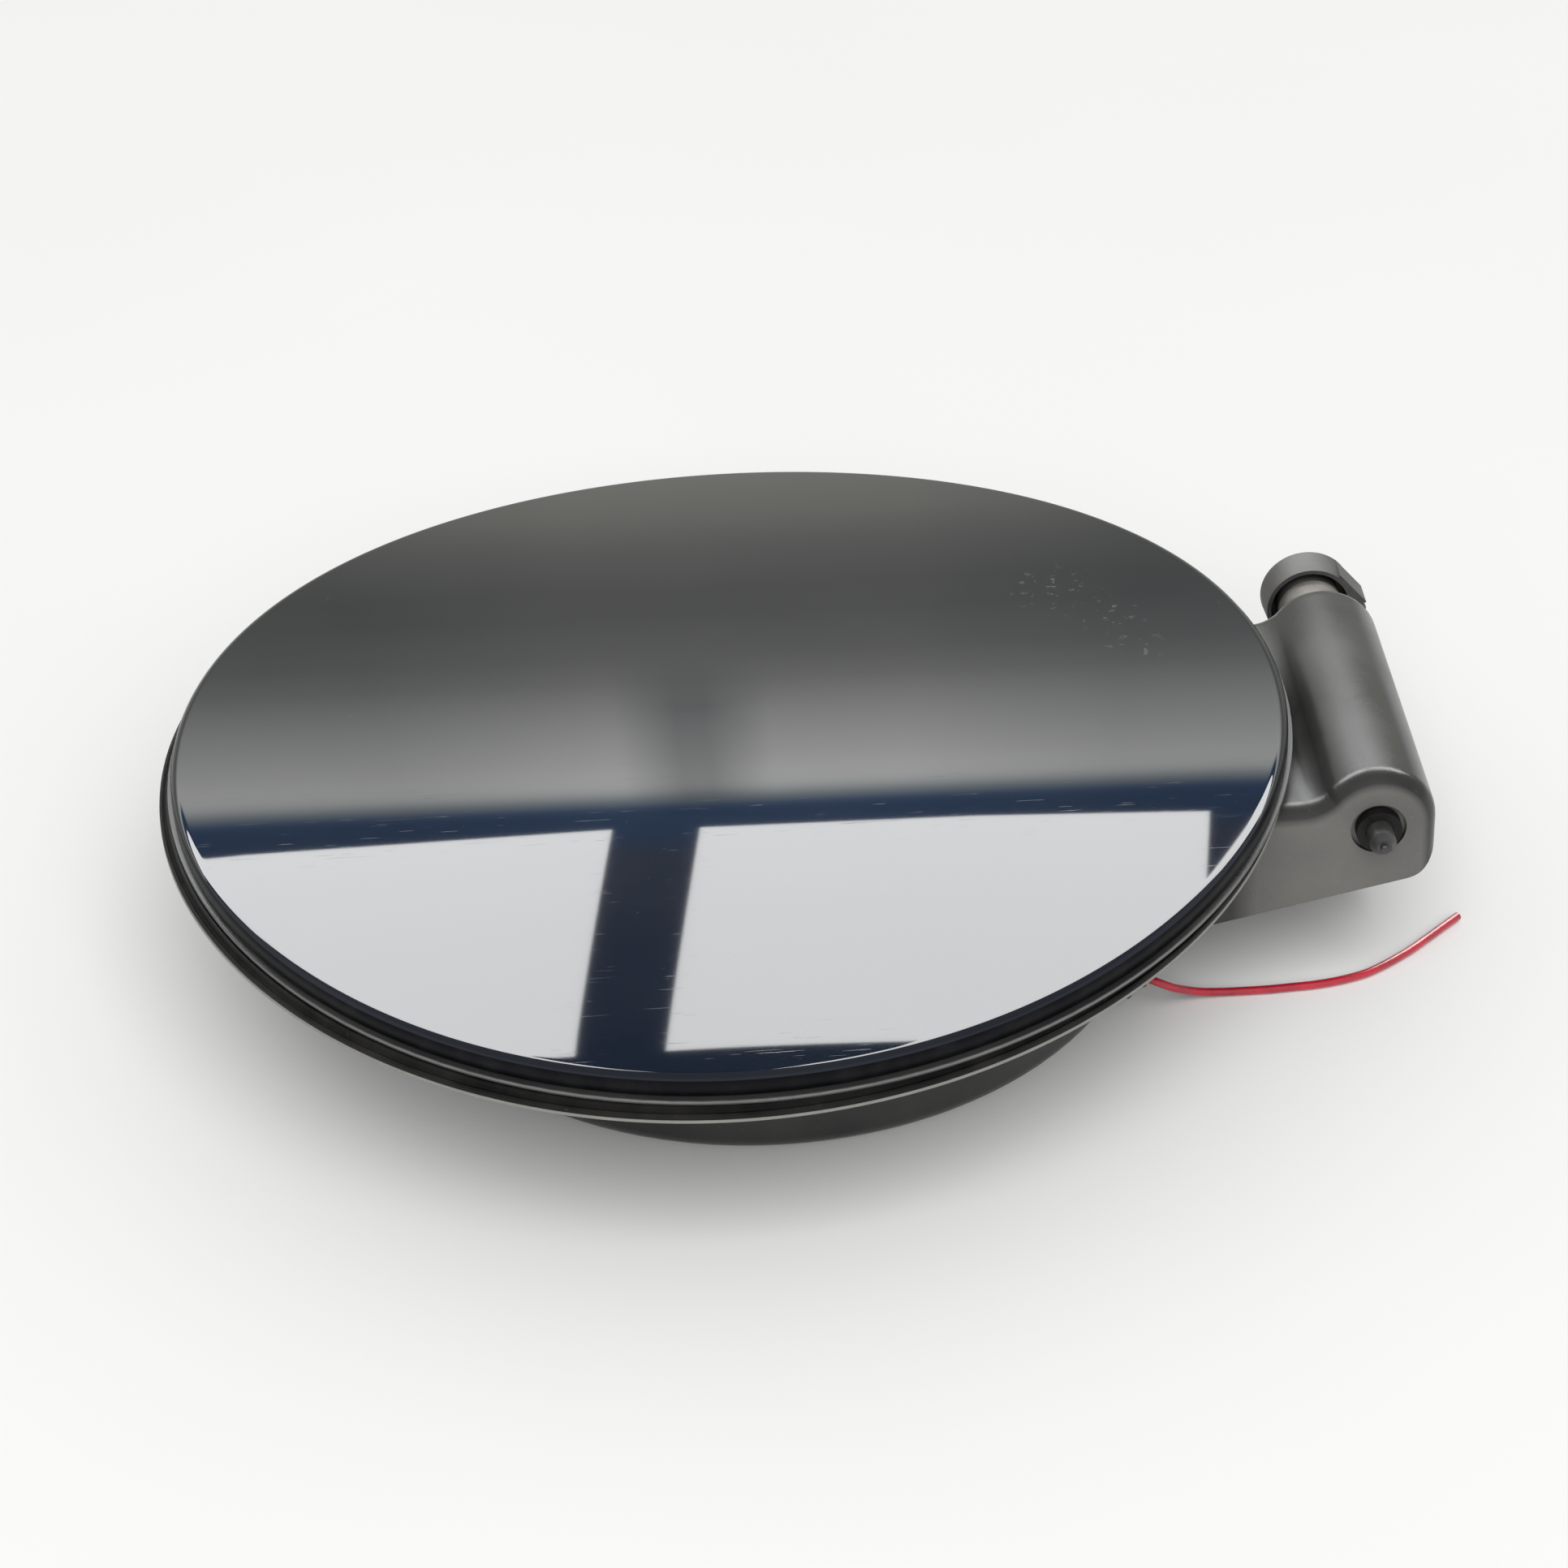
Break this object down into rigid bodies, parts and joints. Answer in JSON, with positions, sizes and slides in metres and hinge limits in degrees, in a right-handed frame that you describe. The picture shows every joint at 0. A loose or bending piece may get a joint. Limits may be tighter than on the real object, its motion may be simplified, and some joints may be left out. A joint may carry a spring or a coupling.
{
  "type": "car fuel door",
  "caption": "Round painted car fuel door on a gooseneck hinge in its moulded pocket, with rim seal, hinge pin, lock pin and drive, and a door switch with a cut red lead",
  "frame": {"origin": "On the filler neck's axis, at the underside of the pocket's floor", "axes": "+Z points out of the car body along the filler neck, +X points from the neck to the hinge, +Y runs along the hinge pin towards its head"},
  "size_m": [0.2114, 0.1824, 0.0426],
  "materials": {
    "moulding": "satin black moulding",
    "seal_rubber": "matte black rubber",
    "soft_rubber": "matte black rubber",
    "zinc_steel": "zinc plated",
    "pin_steel": "blackened steel",
    "spring_steel": "oiled spring steel",
    "screw_steel": "zinc plated",
    "dark_nylon": "satin dark grey moulding",
    "bush_nylon": "dull grey brown moulding",
    "pale_nylon": "natural nylon",
    "drive_case": "fine grained black moulding",
    "lead_red": "glossy red insulation",
    "body_paint": "deep navy gloss paint"
  },
  "bodies": {
    "housing": {"pocket": "moulding", "rim_seal": "seal_rubber", "neck_collar": "soft_rubber", "collar_ring": "zinc_steel", "near_bush": "dark_nylon", "far_bush": "bush_nylon", "hinge_pin": "pin_steel", "pin_head": "dark_nylon", "hinge_spring": "spring_steel", "bump_stop_near": "soft_rubber", "bump_stop_far": "soft_rubber", "lock_drive": "drive_case", "lock_cover": "drive_case", "lock_gasket": "soft_rubber", "drive_screw_near": "screw_steel", "drive_screw_far": "screw_steel", "door_switch": "drive_case", "lead_grommet": "soft_rubber", "red_lead": "lead_red"},
    "flap": {"flap_skin": "body_paint", "flap_carrier": "moulding", "arm_bush_near": "pale_nylon", "arm_bush_far": "pale_nylon", "striker": "zinc_steel", "striker_rivet": "screw_steel", "cap_holder": "dark_nylon", "skin_stud_1": "screw_steel", "skin_stud_2": "screw_steel", "skin_stud_3": "screw_steel", "skin_stud_4": "screw_steel"},
    "lock": {"lock_pin": "zinc_steel"},
    "plunger": {"switch_plunger": "pale_nylon"}
  },
  "joints": [
    {"name": "flap_hinge", "type": "hinge", "parent": "housing", "child": "flap", "pos_m": [0.1009, 0, 0.032], "axis": [0, 1, 0], "range_deg": [0, 80]},
    {"name": "lock_slide", "type": "slide", "parent": "housing", "child": "lock", "axis": [1, 0, 0], "range_m": [0, 0.008]},
    {"name": "plunger_slide", "type": "slide", "parent": "housing", "child": "plunger", "axis": [0, 0, 1], "range_m": [0, 0.003]}
  ],
  "couplings": [
    {"joint": "plunger_slide", "follows": "flap_hinge", "m_per_rad": 0.00214}
  ]
}
